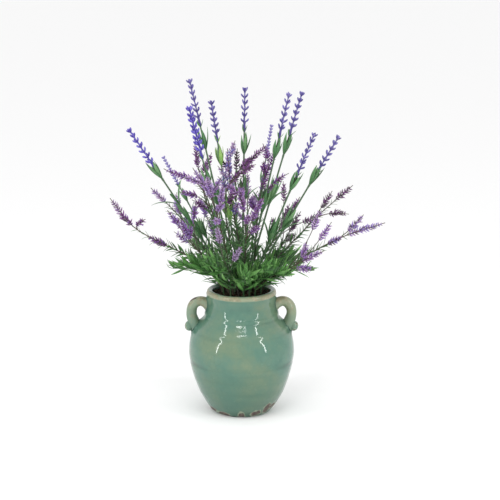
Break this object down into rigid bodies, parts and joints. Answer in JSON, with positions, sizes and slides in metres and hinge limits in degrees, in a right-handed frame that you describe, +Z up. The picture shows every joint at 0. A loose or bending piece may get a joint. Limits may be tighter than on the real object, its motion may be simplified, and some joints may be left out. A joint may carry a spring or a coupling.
{
  "type": "potted lavender",
  "caption": "Moulded lavender in a glazed two-handled jar: tall blue spikes, branching mauve sprigs and low leaf sprays stand in bark soil.",
  "frame": {"origin": "centre of the jar's flat foot, on the surface it stands on", "axes": "+Z up, the two ring handles along X, the front towards -Y"},
  "size_m": [0.382, 0.2452, 0.4682],
  "materials": {
    "celadon_glaze": "glossy crackled glaze over brown clay",
    "bark_soil": "matt, crumbly",
    "stem_green": "satin moulded plastic",
    "floret_blue": "flocked moulded plastic",
    "floret_mauve": "flocked moulded plastic",
    "twig_brown": "satin moulded plastic",
    "leaf_green": "satin moulded plastic"
  },
  "bodies": {
    "root": {"jar": "celadon_glaze", "soil": "bark_soil", "tall_stem_01": "stem_green", "tall_stem_02": "stem_green", "tall_stem_03": "stem_green", "tall_stem_04": "stem_green", "tall_stem_05": "stem_green", "tall_stem_06": "stem_green", "tall_stem_07": "stem_green", "tall_stem_08": "stem_green", "tall_stem_09": "stem_green", "tall_stem_10": "stem_green", "tall_stem_11": "stem_green", "tall_spike_01": "floret_blue", "tall_spike_02": "floret_blue", "tall_spike_03": "floret_blue", "tall_spike_04": "floret_blue", "tall_spike_05": "floret_blue", "tall_spike_06": "floret_blue", "tall_spike_07": "floret_blue", "tall_spike_08": "floret_blue", "tall_spike_09": "floret_blue", "tall_spike_10": "floret_blue", "tall_spike_11": "floret_blue", "sprig_01": "floret_mauve", "sprig_02": "floret_mauve", "sprig_03": "floret_mauve", "sprig_04": "floret_mauve", "sprig_05": "floret_mauve", "sprig_06": "floret_mauve", "sprig_07": "floret_mauve", "sprig_08": "floret_mauve", "sprig_09": "floret_mauve", "sprig_10": "floret_mauve", "sprig_11": "floret_mauve", "sprig_12": "floret_mauve", "sprig_13": "floret_mauve", "sprig_14": "floret_mauve", "sprig_15": "floret_mauve", "sprig_16": "floret_mauve", "sprig_17": "floret_mauve", "sprig_18": "floret_mauve", "sprig_19": "floret_mauve", "leaf_spray_01": "leaf_green", "leaf_spray_02": "leaf_green", "leaf_spray_03": "leaf_green", "leaf_spray_04": "leaf_green", "leaf_spray_05": "leaf_green", "leaf_spray_06": "leaf_green", "leaf_spray_07": "leaf_green", "leaf_spray_08": "leaf_green", "leaf_spray_09": "leaf_green", "leaf_spray_10": "leaf_green", "leaf_spray_11": "leaf_green"}
  },
  "joints": []
}
